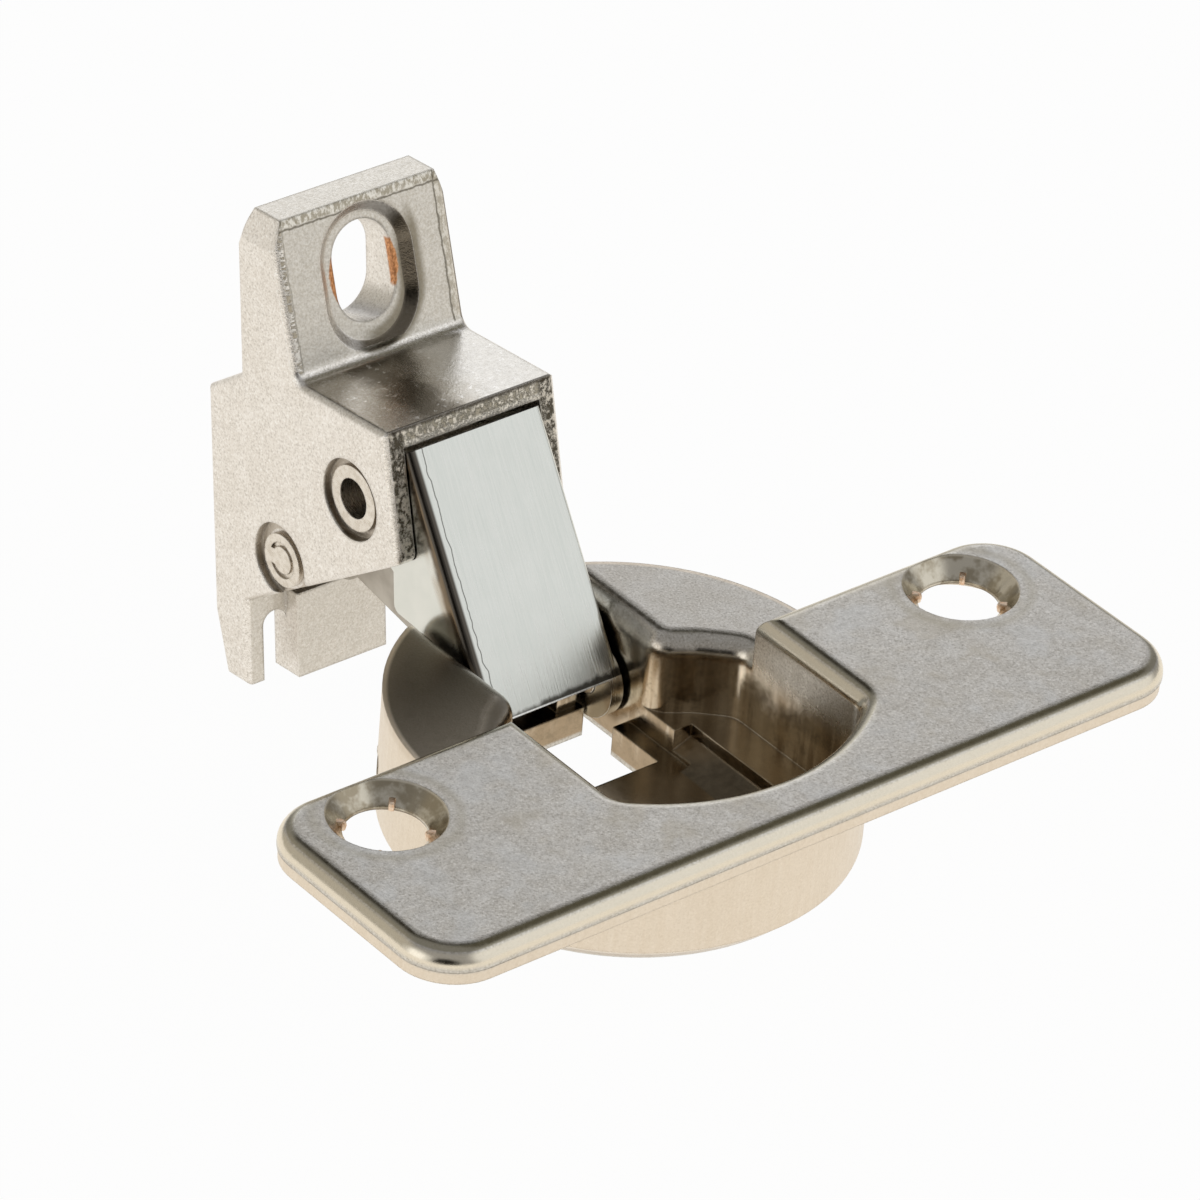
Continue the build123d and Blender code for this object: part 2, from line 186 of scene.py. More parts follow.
class Graph(Nodes):
    """A material, built up by painting tints over one colour."""

    def __init__(self, name):
        self.material = bpy.data.materials.new(name)
        self.material.use_nodes = True
        super().__init__(self.material.node_tree)
        self.place = self.node("ShaderNodeTexCoord").outputs["Object"]
        self.colour = None

    def paint(self, tint, *masks):
        """Lays a tint over the colour where all the masks are 1."""
        self.colour = self.mix(self.times(*masks), self.colour, tint)

    def along(self, direction, point=(0.0, 0.0, 0.0)):
        """Millimetres from point (in millimetres) along a direction of the shared frame."""
        reached = self.dot(self.place, [value / MM for value in direction])
        return self.minus(reached, sum(a * b for a, b in zip(direction, point)))

    def normal(self):
        """The plain surface normal, without bumps, in the scene's directions."""
        return self.node("ShaderNodeNewGeometry").outputs["Normal"]

    def facing(self, direction):
        """Cosine between the surface normal at rest and a direction."""
        turned = self.node("ShaderNodeVectorTransform", vector_type="NORMAL",
                           convert_from="WORLD", convert_to="OBJECT")
        self.put(turned.inputs[0], self.normal())
        return self.dot(turned.outputs[0], direction)

    def noise(self, scale, detail=3.0, roughness=0.55, seed=0.0):
        """Noise with about scale grains per millimetre, along each axis."""
        if not isinstance(scale, tuple):
            scale = (scale, scale, scale)
        spread = self.node("ShaderNodeMapping")
        self.put(spread.inputs["Vector"], self.place)
        spread.inputs["Scale"].default_value = [value / MM for value in scale]
        made = self.node("ShaderNodeTexNoise", noise_dimensions="4D")
        self.put(made.inputs["Vector"], spread.outputs[0])
        made.inputs["Scale"].default_value = 1.0
        made.inputs["Detail"].default_value = detail
        made.inputs["Roughness"].default_value = roughness
        made.inputs["W"].default_value = seed
        return made.outputs["Fac"]

    def wander(self, reach, scale, detail, roughness, seed):
        """Noise round 0 that spans reach, to make a straight border uneven."""
        return self.times(self.minus(self.noise(scale, detail, roughness, seed), 0.5), reach)

    def rounded(self, radius):
        """Normal with edges rounded by radius in millimetres."""
        made = self.node("ShaderNodeBevel", samples=4)
        made.inputs["Radius"].default_value = radius * MM
        return made.outputs["Normal"]

    def edges(self, radius, low, high):
        """1 along edges sharper than radius in millimetres, 0 on flat ground."""
        return self.ramp(self.minus(1.0, self.dot(self.rounded(radius), self.normal())), low, high)

    def hollow(self, reach, low, high):
        """1 deep in hollows within reach millimetres, 0 in the open."""
        made = self.node("ShaderNodeAmbientOcclusion", samples=4)
        made.inputs["Distance"].default_value = reach * MM
        return self.ramp(made.outputs["AO"], low, high, 1.0, 0.0)

    def finish(self, roughness, height, bump, soften=0.15):
        """Metal with the painted colour, bumps of bump millimetres and softened edges."""
        bumped = self.node("ShaderNodeBump")
        bumped.inputs["Distance"].default_value = bump * MM
        self.put(bumped.inputs["Height"], height)
        self.put(bumped.inputs["Normal"], self.rounded(soften))
        shader = self.node("ShaderNodeBsdfPrincipled")
        self.put(shader.inputs["Base Color"], self.colour)
        self.put(shader.inputs["Roughness"], roughness)
        self.put(shader.inputs["Normal"], bumped.outputs["Normal"])
        self.put(shader.inputs["Metallic"], 1.0)
        return self.surface(shader.outputs[0])

    def surface(self, shader):
        out = self.node("ShaderNodeOutputMaterial")
        self.put(out.inputs["Surface"], shader)
        return self.material


class Casting(Graph):
    """Sandy nickel casting with soft clouds, fine grain and small pits."""

    def __init__(self, name, light, dark, pit_depth):
        super().__init__(name)
        fine = self.noise(5.5, 3.0, 0.7)
        cloud = self.noise(0.33, 4.0, 0.7, 2.0)
        pits = self.noise(2.6, 2.0, 0.5, 5.0)
        middle = tuple(0.5 * (a + b) for a, b in zip(light, dark))
        self.colour = self.mix(self.ramp(cloud, 0.38, 0.64), middle, light)
        shaded = tuple(0.70 * v for v in dark)
        sparkling = tuple(min(1.0, 1.30 * v) for v in light)
        pitted = tuple(0.4 * v for v in dark)
        self.paint(shaded, self.ramp(fine, 0.50, 0.34, 0.0, 0.75))
        self.paint(sparkling, self.ramp(fine, 0.52, 0.66, 0.0, 0.70))
        self.paint(pitted, self.ramp(pits, 0.69, 0.78, 0.0, pit_depth))
        self.height = self.plus(self.times(fine, 0.7), self.times(pits, 0.35))

    def satin(self, high):
        """Roughness in soft patches, from 0.28 up to high."""
        return self.ramp(self.noise(1.7, 3.0, 0.6, 9.0), 0.3, 0.7, 0.28, high)


# Colours of the plate and the cup
PLATE_LIGHT, PLATE_DARK = (0.635, 0.615, 0.575), (0.52, 0.485, 0.425)
COOL_PATCH, WARM_PATCH = (0.65, 0.665, 0.67), (0.52, 0.475, 0.39)
ROLL_PAINTED_SHADE, ROLL_PAINTED_HIGHLIGHT = (0.37, 0.335, 0.24), (0.79, 0.725, 0.60)
SINK_BROWN, SINK_OLIVE, SINK_HALO = (0.27, 0.225, 0.15), (0.62, 0.58, 0.49), (0.42, 0.385, 0.30)
CAVITY_BRONZE_SHADE, CAVITY_STREAK_HIGHLIGHT = (0.375, 0.285, 0.185), (0.80, 0.70, 0.56)
CAVITY_WARM_HIGHLIGHT, CAVITY_MOTTLE = (0.70, 0.575, 0.41), (0.20, 0.155, 0.095)
CAVITY_FLOOR_SHADE, CAVITY_TAN_HIGHLIGHT = (0.225, 0.18, 0.12), (0.92, 0.81, 0.65)
RIM_ARM_REFLECTION = (0.20, 0.17, 0.125)
DRAWN_FLOORLIT_DARK, DRAWN_FLOORLIT_LIGHT = (0.83, 0.72, 0.58), (0.89, 0.79, 0.66)
PARTING_LINE = (0.16, 0.12, 0.08)
PLATE_WEAR_AND_HIGHLIGHT = (0.80, 0.75, 0.67)


class Plate(Casting):
    """Cup and screw plate: grey on top, warm below, bronze-dark in the cup."""

    def __init__(self):
        super().__init__("plate_casting", PLATE_LIGHT, PLATE_DARK, 0.45)
        self.side = self.along(ACROSS)
        self.up = self.along(UP)
        self.level = self.facing(UP)
        self.radius = self.away(self.side, self.along(ALONG))
        self.depth = self.ramp(self.up, -3.2, -0.2, 1.0, 0.0)
        within = self.ramp(self.radius, CUP_RADIUS - 0.5, CUP_RADIUS - 0.2, 1.0, 0.0)
        self.inside = self.times(within, self.ramp(self.up, 0.2 - CUP_DEPTH, 0.5 - CUP_DEPTH), self.depth)
        self.top = self.times(self.ramp(self.level, 0.9, 0.98),
                              self.ramp(self.up, PLATE_TOP - 0.65, PLATE_TOP - 0.35))

    def build(self):
        self.plate_top()
        self.rolled_edge()
        cone = self.countersinks()
        self.cavity()
        self.back_rim()
        self.outside()
        self.edges_and_corner_shade()
        # rolled edges, countersinks and the inside of the cup are smoother than the blasted top
        smooth = self.most(self.band(self.level, 0.10, 0.975, 0.02), cone, self.inside)
        roughness = self.minus(self.satin(0.36), self.times(smooth, 0.13))
        height = self.times(self.height, self.minus(1.0, self.times(smooth, 0.8)))
        return self.finish(roughness, height, 0.022, soften=0.22)

    def plate_top(self):
        """Bluish and warm patches."""
        patch = self.noise(0.17, 3.0, 0.6, 43.0)
        self.paint(COOL_PATCH, self.top, self.ramp(patch, 0.50, 0.64, 0.0, 0.35))
        self.paint(WARM_PATCH, self.top, self.ramp(patch, 0.47, 0.36, 0.0, 0.5))

    def rolled_edge(self):
        """Painted shade where the top starts to roll over, and a painted cream highlight on the flank
        below.
        """
        turn = self.times(self.band(self.level, 0.80, 0.965, 0.03),
                          self.ramp(self.up, PARTING + 0.2, PARTING + 0.5))
        self.paint(ROLL_PAINTED_SHADE, turn, 0.75)
        flank = self.times(self.band(self.level, 0.12, 0.74, 0.08),
                           self.ramp(self.up, PARTING + 0.1, PARTING + 0.3))
        self.paint(ROLL_PAINTED_HIGHLIGHT, flank, 0.85)

    def countersinks(self):
        """Smooth olive cones with brown patches, and a faint halo on the top."""
        apart = self.minus(self.math("ABSOLUTE", self.side), SCREW_X)
        head = self.away(apart, self.along(ALONG, (0, SCREW_Y, 0)))
        cone = self.times(self.ramp(head, SINK_EDGE + 0.2, SINK_EDGE - 0.2),
                          self.ramp(self.up, PLATE_TOP - 0.02, PLATE_TOP - 0.17))
        spots = self.ramp(self.noise(0.65, 3.0, 0.6, 47.0), 0.42, 0.60)
        self.paint(self.mix(spots, SINK_BROWN, SINK_OLIVE), cone, 0.8)
        halo = self.band(head, SINK_EDGE + 0.05, SINK_EDGE + 0.75, 0.35)
        self.paint(SINK_HALO, halo, self.top, 0.4)
        return cone

    def cavity(self):
        """Bronze-dark inside as painted shade, with upright streaks of painted highlight, mottles and a
        floor darkened as painted shade.
        """
        streaks = self.noise((0.9, 0.9, 0.08), 3.0, 0.6, 7.0)
        tall = self.times(self.ramp(streaks, 0.42, 0.64), self.ramp(self.up, -11.0, -6.5))
        bronze = self.mix(self.times(tall, 0.85), CAVITY_BRONZE_SHADE, CAVITY_STREAK_HIGHLIGHT)
        # painted warm highlight on the upper walls
        warm_highlight = self.times(self.ramp(self.noise((0.22, 0.22, 0.16), 2.0, 0.5, 57.0), 0.47, 0.60),
                             self.ramp(self.up, -8.6, -7.0))
        bronze = self.mix(self.times(warm_highlight, 0.7), bronze, CAVITY_WARM_HIGHLIGHT)
        mottle = self.ramp(self.noise(1.3, 4.0, 0.75, 33.0), 0.45, 0.68, 0.0, 0.45)
        bronze = self.mix(mottle, bronze, CAVITY_MOTTLE)
        # painted shade on the upward-facing floor
        bronze = self.mix(self.ramp(self.level, 0.6, 0.95, 0.0, 0.9), bronze, CAVITY_FLOOR_SHADE)
        bronze = self.mix(self.times(self.tan_highlight(streaks), 0.9), bronze, CAVITY_TAN_HIGHLIGHT)
        self.paint(bronze, self.inside, 0.96)

    def tan_highlight(self, streaks):
        """Painted highlight: bright patch on each side wall of the cavity."""
        patch_x, patch_y = 10.0, -0.6
        apart = self.minus(self.math("ABSOLUTE", self.side), patch_x)
        reach = self.away(apart, self.along(ALONG, (0, patch_y, 0)))
        return self.times(self.ramp(reach, 3.6, 1.6), self.band(self.up, -7.6, -1.2, 0.9),
                          self.ramp(self.level, 0.6, 0.4), self.ramp(streaks, 0.30, 0.55, 0.35, 1.0))

    def back_rim(self):
        """Painted dark reflection of the arm on the cup's rim behind the left half of the plate."""
        self.paint(RIM_ARM_REFLECTION, self.ramp(self.side, -4.0, -9.0), self.ramp(self.along(ALONG), -0.8, -0.2),
                   self.ramp(self.up, 0.2, -0.3), self.ramp(self.up, -1.6, -0.9), 0.9)

    def outside(self):
        """Drawn marks outside the cup and below the parting line, in a warm cream that is painted light
        from the floor below.
        """
        beyond = self.times(self.ramp(self.radius, CUP_RADIUS - 0.5, CUP_RADIUS - 0.2),
                            self.ramp(self.up, PARTING - 0.3, PARTING + 0.05, 1.0, 0.0))
        drawn = self.ramp(self.noise((2.6, 2.6, 0.15), 2.0, 0.5, 8.0), 0.3, 0.75)
        self.paint(self.mix(self.times(drawn, 0.6), DRAWN_FLOORLIT_DARK, DRAWN_FLOORLIT_LIGHT), beyond, 0.72)
        uneven = self.plus(self.up, self.wander(0.16, 0.5, 3.0, 0.6, 11.0))
        line = self.band(uneven, PARTING - 0.07, PARTING + 0.03, 0.05)
        self.paint(PARTING_LINE, line, self.ramp(self.radius, CUP_RADIUS + 0.1, CUP_RADIUS + 0.4), 0.85)

    def edges_and_corner_shade(self):
        """Bright edges, partly wear and partly painted highlight, and painted shade in the corners."""
        self.paint(PLATE_WEAR_AND_HIGHLIGHT, self.edges(0.25, 0.03, 0.4), self.ramp(self.depth, 0.2, 0.0), 0.35)
        # painted shade in the corners
        self.paint(DARKEST_SHADE, self.hollow(1.0, 0.2, 0.5), self.ramp(self.up, 2.2, 1.8), 0.4)


# Colours of the arm
ARM_LIGHT, ARM_DARK = (0.83, 0.80, 0.76), (0.74, 0.70, 0.645)
FACE_DARK, FACE_LIGHT = (0.50, 0.465, 0.40), (0.70, 0.675, 0.625)
WEB_BROWN_REFLECTION, WEB_TAB_REFLECTION = (0.32, 0.27, 0.20), (0.10, 0.08, 0.05)
WEB_HIGHLIGHT, WEB_PAINTED_GLINT, WEB_RIM_SHADE = (0.86, 0.855, 0.84), (0.95, 0.94, 0.92), (0.13, 0.11, 0.075)
COARSE_DARK, COARSE_LIGHT = (0.07, 0.06, 0.04), (0.66, 0.62, 0.55)
FAIR_DARK, FAIR_LIGHT, FAIR_FOOT = (0.40, 0.37, 0.30), (0.78, 0.74, 0.66), (0.90, 0.87, 0.80)
RIGHT_DARK, RIGHT_HIGHLIGHT = (0.34, 0.30, 0.22), (0.80, 0.77, 0.70)
LEFT_DARK, LEFT_HIGHLIGHT = (0.42, 0.37, 0.28), (0.93, 0.90, 0.85)
TOP_DARK, TOP_HIGHLIGHT = (0.30, 0.265, 0.19), (0.88, 0.86, 0.80)
TAB_EDGE_SHADE, TAB_HAIR = (0.10, 0.085, 0.055), (0.40, 0.35, 0.27)
ARM_WEAR_AND_HIGHLIGHT = (0.88, 0.84, 0.77)
RECESS_WALL, RECESS_LIP = (0.12, 0.095, 0.06), (0.20, 0.17, 0.115)
COPPER_DARK, COPPER_LIGHT = (0.36, 0.15, 0.06), (0.72, 0.36, 0.17)
PIVOT_DISH_SHADOW = (0.33, 0.26, 0.17)
ARM_SHADE = (0.10, 0.075, 0.05)


class Arm(Casting):
    """Arm: cream side plates, grey worn front, copper in the slot."""

    def __init__(self):
        super().__init__("arm_casting", ARM_LIGHT, ARM_DARK, 0.30)
        self.across = self.along(ACROSS)
        self.aside = self.math("ABSOLUTE", self.across)
        self.rise = self.along(WEB_UP, PIVOT)
        self.back = self.along(WEB_BACK, PIVOT)
        self.slot_up = self.along(TAB_UP, SLOT)
        self.slot_deep = self.along(TAB_BACK, SLOT)
        self.front = self.facing(opposite(TAB_BACK))
        self.top = self.facing(WEB_UP)
        self.flat_top = self.ramp(self.top, 0.95, 0.995)
        self.above_web = self.ramp(self.rise, 7.0, 7.4)
        self.ragged = self.wander(0.45, 1.1, 3.0, 0.65, 61.0)
        self.torn = self.ramp(self.noise((2.6, 2.6, 2.0), 4.0, 0.75, 13.0), 0.43, 0.57)
        self.comb = self.ramp(self.noise((1.2, 0.7, 4.0), 3.0, 0.65, 17.0), 0.42, 0.58)

    def build(self):
        self.grey_faces()
        self.web_top()
        cut = self.cut_front()
        left_strip = self.tab_strips()
        hair = self.tab_side()
        self.web_rim()
        # bright edges, partly wear and partly painted highlight
        self.paint(ARM_WEAR_AND_HIGHLIGHT, self.edges(0.3, 0.03, 0.3), 0.4)
        self.recess()
        self.rubbed_slot()
        self.pivot_and_corner_shade()
        shoulder = self.most(self.flat_top, self.band(self.front, 0.30, 0.96, 0.03))
        roughness = self.minus(self.satin(0.38), self.times(shoulder, 0.12))
        height = self.plus(self.height, self.times(cut, self.torn, 2.2))
        height = self.plus(height, self.times(self.most(left_strip, hair), self.comb, 1.4))
        return self.finish(roughness, height, 0.030, soften=0.34)

    def grey_faces(self):
        """The tab's front and the web's top are greyer than the side plates."""
        flat = self.most(self.ramp(self.front, 0.93, 0.99), self.flat_top)
        grain = self.ramp(self.noise(5.2, 4.0, 0.75, 41.0), 0.38, 0.62)
        self.paint(self.mix(grain, FACE_DARK, FACE_LIGHT), flat, 0.8)

    def web_top(self):
        """Web's top: painted dark brown reflection of the tab left of the middle, painted highlight to the
        right, and painted glints.
        """
        web = self.times(self.flat_top, self.ramp(self.rise, 8.4, 8.0))
        place = self.plus(self.across, self.wander(5.0, 0.25, 3.0, 0.6, 51.0))
        self.paint(WEB_BROWN_REFLECTION, web, self.ramp(place, 2.2, -0.8), 0.3)
        self.paint(WEB_TAB_REFLECTION, web, self.band(place, -3.9, -0.6, 0.9), 0.75)
        self.paint(WEB_HIGHLIGHT, web, self.ramp(place, 0.6, 3.4), 0.35)
        self.paint(WEB_PAINTED_GLINT, web, self.ramp(self.noise(1.5, 4.0, 0.75, 53.0), 0.56, 0.66), 0.7)

    def cut_front(self):
        """Cut front edges: coarse, torn metal on the side plates, fairer on the web."""
        cut = self.times(self.ramp(self.facing(opposite(WEB_BACK)), 0.90, 0.97),
                         self.ramp(self.back, -3.0, -3.5), self.ramp(self.rise, 7.2, 6.9))
        coarse = self.mix(self.torn, COARSE_DARK, COARSE_LIGHT)
        fair = self.mix(self.torn, FAIR_DARK, FAIR_LIGHT)
        fair = self.mix(self.ramp(self.rise, 5.95, 5.75, 0.0, 0.7), fair, FAIR_FOOT)
        side_plate = self.ramp(self.aside, ARM_INNER - 0.15, ARM_INNER + 0.15)
        self.paint(self.mix(side_plate, fair, coarse), cut, 0.95)
        # painted shade: thin dark line where the web's top turns over its front
        turn = self.band(self.back, -ARM_FRONT - 0.05, -ARM_FRONT + 0.22, 0.05)
        self.paint(DARKEST_SHADE, turn, self.ramp(self.rise, ARM_WEB_TOP - 0.38, ARM_WEB_TOP - 0.13),
                   self.ramp(self.aside, ARM_HALF_WIDTH - 0.25, ARM_HALF_WIDTH - 0.55), 0.8)
        return cut

    def tab_strips(self):
        """Rolled edges of the tab's front: bright and dark marks, their bright parts painted highlight,
        inside a dark line of painted shade.
        """
        across = self.plus(self.across, self.ragged)
        rise = self.plus(self.rise, self.ragged)
        flake = self.ramp(self.noise((3.0, 3.0, 1.6), 4.0, 0.7, 59.0), 0.42, 0.58)
        tab = self.times(self.ramp(self.front, 0.90, 0.97), self.ramp(self.rise, 6.6, 7.2))
        right_strip = self.times(tab, self.ramp(across, 6.72, 6.86))
        left_strip = self.times(tab, self.ramp(across, -6.95, -7.1))
        top_strip = self.times(tab, self.ramp(rise, TAB_HEIGHT - 0.75, TAB_HEIGHT - 0.6))
        self.paint(self.mix(flake, RIGHT_DARK, RIGHT_HIGHLIGHT), right_strip, 0.55)
        self.paint(self.mix(self.comb, LEFT_DARK, LEFT_HIGHLIGHT), left_strip, 0.8)
        self.paint(self.mix(flake, TOP_DARK, TOP_HIGHLIGHT), top_strip, 0.7)
        line = self.most(self.band(across, 6.62, 6.78, 0.05),
                         self.times(self.band(across, -7.0, -6.9, 0.05), 0.6),
                         self.band(rise, TAB_HEIGHT - 0.88, TAB_HEIGHT - 0.74, 0.05))
        self.paint(TAB_EDGE_SHADE, line, tab, 0.75)
        return left_strip

    def tab_side(self):
        """The comb marks reach a little way over the edge, onto the tab's left side."""
        left = self.ramp(self.facing(opposite(ACROSS)), 0.8, 0.95)
        over = self.times(left, self.ramp(self.rise, 6.9, 7.4))
        ahead = self.along(opposite(TAB_BACK), SLOT)
        hair = self.times(over, self.ramp(self.minus(ahead, self.times(self.comb, 0.9)), -1.0, -0.4))
        self.paint(TAB_HAIR, hair, self.comb, 0.55)
        return hair

    def web_rim(self):
        """Dark line of painted shade along the left edge of the web's top."""
        self.paint(WEB_RIM_SHADE, self.ramp(self.top, 0.9, 0.97), self.ramp(self.rise, 8.4, 8.0),
                   self.ramp(self.plus(self.across, self.ragged), -7.15, -7.4), 0.8)

    def recess(self):
        """Brown shade on the right and lower wall of the slot's recess, and round its lip."""
        low_right = self.minus(self.times(self.across, 0.8), self.times(self.slot_up, 0.42))
        sloping = self.band(self.front, 0.45, 0.93, 0.03)
        self.paint(RECESS_WALL, sloping, self.band(self.slot_deep, 0.01, 0.72, 0.03),
                   self.above_web, self.ramp(low_right, 0.3, 1.6), 0.9)
        half_run = 1.5
        beyond = self.most(self.minus(self.math("ABSOLUTE", self.slot_up), half_run), 0.0)
        lip = self.band(self.away(self.across, beyond), 2.9, 4.75, 0.35)
        self.paint(RECESS_LIP, lip, self.ramp(low_right, 0.8, 2.6), self.above_web,
                   self.ramp(self.front, 0.9, 0.97), 0.8)

    def rubbed_slot(self):
        """Copper where the screw has rubbed the nickel off the slot's wall."""
        edge = self.plus(self.aside, self.times(self.math("POWER", self.slot_up, 2.0), 0.13))
        edge = self.plus(edge, self.wander(0.5, 1.8, 3.0, 0.6, 19.0))
        copper = self.mix(self.ramp(self.noise(5.0, 3.0, 0.6, 21.0), 0.35, 0.65), COPPER_DARK, COPPER_LIGHT)
        self.paint(copper, self.ramp(edge, 3.12, 2.96), self.band(self.slot_deep, 0.30, 1.30, 0.12),
                   self.band(self.slot_up, -1.9, 1.7, 0.15))

    def pivot_and_corner_shade(self):
        """Painted brown shadow rings in the dishes of the pivots, painted shade in corners, and shade
        between the side plates.
        """
        sunk = self.ramp(self.aside, ARM_HALF_WIDTH - 0.75, ARM_HALF_WIDTH - 0.03, 1.0, 0.0)
        for centre, radius in ((PIVOT, 3.15), (LOW_PIVOT, 3.0)):
            reach = self.away(self.along(WEB_BACK, centre), self.along(WEB_UP, centre))
            ring = self.band(self.minus(reach, radius), -0.7, 0.06, 0.05)
            self.paint(PIVOT_DISH_SHADOW, ring, sunk, 0.5)
        self.paint(DARKEST_SHADE, self.hollow(1.2, 0.2, 0.6), 0.6)
        self.paint(ARM_SHADE, self.hollow(9.0, 0.1, 0.45), self.band(self.rise, -12.0, 5.2, 0.3),
                   self.ramp(self.aside, ARM_INNER + 0.15, ARM_INNER - 0.05))


# Colours of the outer link
LINE_DARK, LINE_LIGHT, LINK_CLOUD = (0.66, 0.685, 0.655), (0.735, 0.75, 0.72), (0.78, 0.79, 0.765)
SCRATCH = (0.10, 0.10, 0.09)
FOOT_REFLECTION_SHADE, FOOT_EDGE_HIGHLIGHT = (0.05, 0.045, 0.035), (0.95, 0.96, 0.95)
FLANGE_BRONZE = (0.33, 0.235, 0.135)


def link_material():
    """Bright nickel plated sheet with drawing lines and a scratch, painted shade in the fold and hollows,
    and a painted dark reflection and highlight at the foot.
    """
    g = Graph("link_sheet")
    rise = g.along(LINK_UP, PIVOT)
    back = g.along(LINK_BACK, PIVOT)
    across = g.along(ACROSS)
    lines = g.noise((7.0, 0.25, 0.25), 3.0, 0.6)
    g.colour = g.mix(g.ramp(lines, 0.3, 0.7), LINE_DARK, LINE_LIGHT)
    g.paint(LINK_CLOUD, g.ramp(g.noise(0.35, 3.0, 0.6, 4.0), 0.4, 0.8, 0.0, 0.35))
    face = g.ramp(back, -6.4, -6.45)
    # thin broken line just inside the left edge
    uneven = g.plus(across, g.wander(0.9, (0.0, 0.55, 0.55), 2.0, 0.5, 23.0))
    g.paint(SCRATCH, g.band(uneven, -4.95, -4.87, 0.035), face, 0.9)
    # painted dark reflection above the foot, uneven and wider to the right, and a painted highlight on the
    # edge below it
    foot = g.minus(rise, -LINK_REACH - LINK_BOTTOM)
    reach = g.plus(g.times(across, 0.05), g.times(g.noise((1.1, 0.6, 0.6), 3.0, 0.6, 27.0), 1.1))
    g.paint(FOOT_REFLECTION_SHADE, g.ramp(g.minus(foot, reach), 0.10, -0.35), g.ramp(foot, 0.06, 0.16), face, 0.92)
    g.paint(FOOT_EDGE_HIGHLIGHT, g.ramp(foot, 0.16, 0.08), face)
    # painted shade in the fold beside the left flange, and bronze patches on the flange
    border = g.plus(back, g.wander(0.9, (0.0, 0.35, 0.35), 3.0, 0.6, 63.0))
    g.paint(DARKEST_SHADE, g.ramp(across, -5.25, -5.5), g.ramp(border, -5.2, -5.75), 0.92)
    patches = g.ramp(g.noise((1, 0.5, 0.3), 2.0, 0.5, 37.0), 0.35, 0.6)
    flange = g.times(g.ramp(g.facing(opposite(ACROSS)), 0.9, 0.97), g.ramp(back, -4.4, -5.2))
    g.paint(FLANGE_BRONZE, flange, patches, 0.45)
    # painted shade in the hollows
    g.paint(DARKEST_SHADE, g.hollow(1.0, 0.2, 0.55), 0.6)
    return g.finish(g.ramp(lines, 0.3, 0.7, 0.20, 0.28), lines, 0.010, soften=0.05)


def inner_link_material():
    """Plated bar with fine lines along its length."""
    light, dark = (0.55, 0.52, 0.47), (0.36, 0.33, 0.29)
    g = Graph("inner_link_sheet")
    lines = g.noise((9.0, 0.35, 0.35), 3.0, 0.6)
    g.colour = g.mix(g.ramp(lines, 0.3, 0.7), dark, light)
    # painted shade in the hollows
    g.paint(DARKEST_SHADE, g.hollow(2.0, 0.2, 0.7), 0.7)
    return g.finish(g.ramp(lines, 0.3, 0.7, 0.30, 0.42), lines, 0.012)


def pin_material():
    """Steel pin with turning marks and painted brown shade in its grooves."""
    light, dark = (0.80, 0.76, 0.70), (0.62, 0.57, 0.50)
    rust, groove_shade = (0.20, 0.14, 0.08), (0.30, 0.225, 0.14)
    g = Graph("pin_steel")
    marks = g.noise((12.0, 2.5, 2.5), 3.0, 0.6)
    g.colour = g.mix(g.ramp(marks, 0.3, 0.7), dark, light)
    g.paint(rust, g.ramp(g.noise(1.3, 4.0, 0.6, 3.0), 0.60, 0.78, 0.0, 0.5))
    g.paint(groove_shade, g.hollow(1.2, 0.15, 0.5), 0.8)
    return g.finish(g.ramp(marks, 0.3, 0.7, 0.22, 0.34), marks, 0.02, soften=0.16)


def nub_material():
    """Bare copper of the small nubs, tarnished in patches."""
    dark, light = (0.72, 0.48, 0.32), (0.93, 0.78, 0.63)
    g = Graph("copper_nub")
    patches = g.noise(4.0, 3.0, 0.6, 31.0)
    g.colour = g.mix(g.ramp(patches, 0.35, 0.65), dark, light)
    return g.finish(g.ramp(patches, 0.3, 0.7, 0.30, 0.5), patches, 0.03, soften=0.08)


def dress(node, material):
    piece = nodes[node]
    if not piece.material_slots:
        piece.data.materials.append(material)
    for held in piece.material_slots:
        held.material = material


dress("cup_plate", Plate().build())
dress("arm_bracket", Arm().build())
dress("outer_link", link_material())
dress("inner_link", inner_link_material())
steel = pin_material()
for name in ("cup_outer_pins", "cup_inner_pin", "arm_rivet", "arm_pin"):
    dress(name, steel)

# Nubs in the screw holes, in millimetres: the wall end is sunk in the hole's wall
NUB_WALL, NUB_TIP = 3.6, 2.70
NUB_LOW, NUB_HIGH = 0.97, 1.70
NUB_OUTLINE = [(NUB_WALL, -0.30), (NUB_WALL, 0.30),
               (NUB_TIP + 0.10, 0.20), (NUB_TIP, 0.0), (NUB_TIP + 0.10, -0.20)]
NUB_LAYERS = [(NUB_LOW, 0.92), (0.5 * (NUB_LOW + NUB_HIGH), 1.0), (NUB_HIGH - 0.12, 0.96), (NUB_HIGH, 0.80)]
NUBS_PER_HOLE = 4
FIRST_NUB = 45


